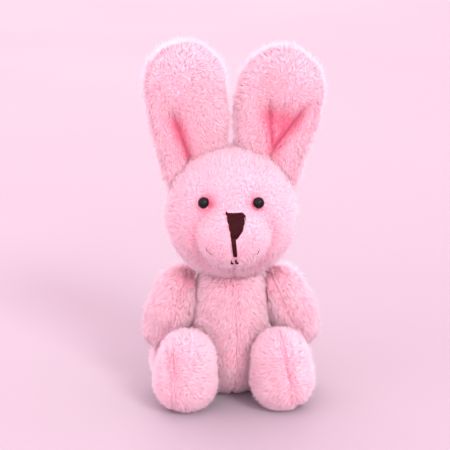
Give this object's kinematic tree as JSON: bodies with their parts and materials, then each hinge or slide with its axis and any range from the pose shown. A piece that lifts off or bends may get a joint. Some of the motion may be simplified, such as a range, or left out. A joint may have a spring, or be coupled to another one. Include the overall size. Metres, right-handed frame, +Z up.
{
  "type": "stuffed bunny rabbit",
  "caption": "Small seated plush rabbit with long fur, upright ears, bead eyes, a stitched nose, and a head, arms and legs that turn on discs.",
  "frame": {"origin": "on the ground, under the middle of the rabbit's bounding box", "axes": "+Z up; the rabbit faces -Y; +X is the rabbit's own left side"},
  "size_m": [0.0574, 0.0534, 0.1184],
  "materials": {
    "fabric_pink": "long-pile plush, light pink at the tips and deeper pink at the roots",
    "fabric_deep_pink": "long-pile plush on the inner side of the ears, slightly deeper pink",
    "filling": "white polyester fibre filling",
    "eye_bead": "glossy black bead",
    "thread_brown": "dark brown embroidery thread in satin stitch",
    "joint_plastic": "natural white moulded plastic"
  },
  "bodies": {
    "torso": {"body_left_panel": "fabric_pink", "body_right_panel": "fabric_pink", "body_filling": "filling", "tail_cover": "fabric_pink", "tail_filling": "filling", "shoulder_left_washer": "joint_plastic", "shoulder_right_washer": "joint_plastic", "hip_left_washer": "joint_plastic", "hip_right_washer": "joint_plastic", "neck_washer": "joint_plastic"},
    "head": {"head_left_panel": "fabric_pink", "head_right_panel": "fabric_pink", "head_gusset": "fabric_pink", "head_filling": "filling", "ear_left_front": "fabric_deep_pink", "ear_left_back": "fabric_pink", "ear_right_front": "fabric_deep_pink", "ear_right_back": "fabric_pink", "eye_left": "eye_bead", "eye_right": "eye_bead", "eye_washers": "joint_plastic", "nose_embroidery": "thread_brown", "mouth_stitches": "thread_brown", "neck_disc": "joint_plastic", "neck_lock": "joint_plastic"},
    "arm_left": {"arm_left_outer": "fabric_pink", "arm_left_inner": "fabric_pink", "arm_left_filling": "filling", "shoulder_left_disc": "joint_plastic", "shoulder_left_lock": "joint_plastic"},
    "leg_left": {"leg_left_outer": "fabric_pink", "leg_left_inner": "fabric_pink", "leg_left_filling": "filling", "hip_left_disc": "joint_plastic", "hip_left_lock": "joint_plastic"},
    "arm_right": {"arm_right_outer": "fabric_pink", "arm_right_inner": "fabric_pink", "arm_right_filling": "filling", "shoulder_right_disc": "joint_plastic", "shoulder_right_lock": "joint_plastic"},
    "leg_right": {"leg_right_outer": "fabric_pink", "leg_right_inner": "fabric_pink", "leg_right_filling": "filling", "hip_right_disc": "joint_plastic", "hip_right_lock": "joint_plastic"}
  },
  "joints": [
    {"name": "neck_turn", "type": "hinge", "parent": "torso", "child": "head", "pos_m": [0, 0.002, 0.044], "axis": [0, 0, 1], "range_deg": [-90, 90]},
    {"name": "shoulder_left_swing", "type": "hinge", "parent": "torso", "child": "arm_left", "pos_m": [0.012, 0.0025, 0.035], "axis": [1, 0, 0], "range_deg": [-110, 110]},
    {"name": "shoulder_right_swing", "type": "hinge", "parent": "torso", "child": "arm_right", "pos_m": [-0.012, 0.0025, 0.035], "axis": [1, 0, 0], "range_deg": [-110, 110]},
    {"name": "hip_left_swing", "type": "hinge", "parent": "torso", "child": "leg_left", "pos_m": [0.0152, 0.003, 0.01], "axis": [1, 0, 0], "range_deg": [0, 90]},
    {"name": "hip_right_swing", "type": "hinge", "parent": "torso", "child": "leg_right", "pos_m": [-0.0152, 0.003, 0.01], "axis": [1, 0, 0], "range_deg": [0, 90]}
  ]
}
